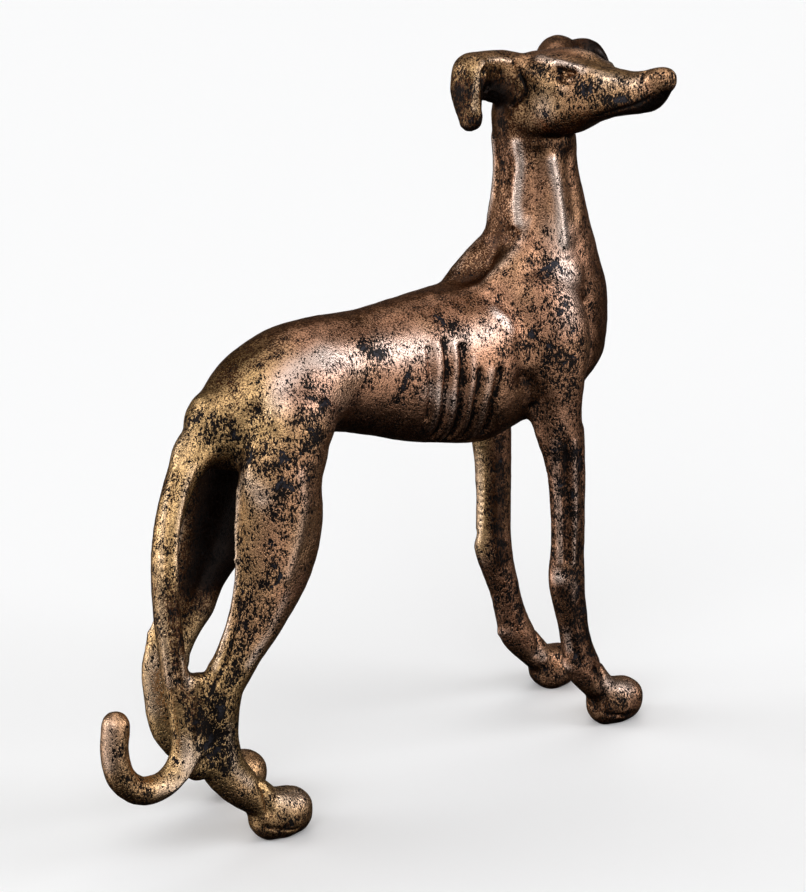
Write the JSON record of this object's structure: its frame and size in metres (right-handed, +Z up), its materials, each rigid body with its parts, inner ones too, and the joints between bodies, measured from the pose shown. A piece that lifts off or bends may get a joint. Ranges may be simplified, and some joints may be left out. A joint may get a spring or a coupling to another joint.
{
  "type": "greyhound sculpture",
  "caption": "Cast brass sculpture of a standing greyhound with its head turned aside and its tail joined to one hock.",
  "frame": {"origin": "on the floor, under the middle of the sculpture's bounding box", "axes": "+X the way the body points, +Y the dog's left, +Z up; the head is turned to -Y"},
  "size_m": [0.3399, 0.1259, 0.3618],
  "materials": {
    "antique_brass": "antiqued cast brass, satin to glossy, with golden high places, coppery brown flats, blue-black patina patches and small casting pits"
  },
  "bodies": {
    "root": {"greyhound": "antique_brass"}
  },
  "joints": []
}
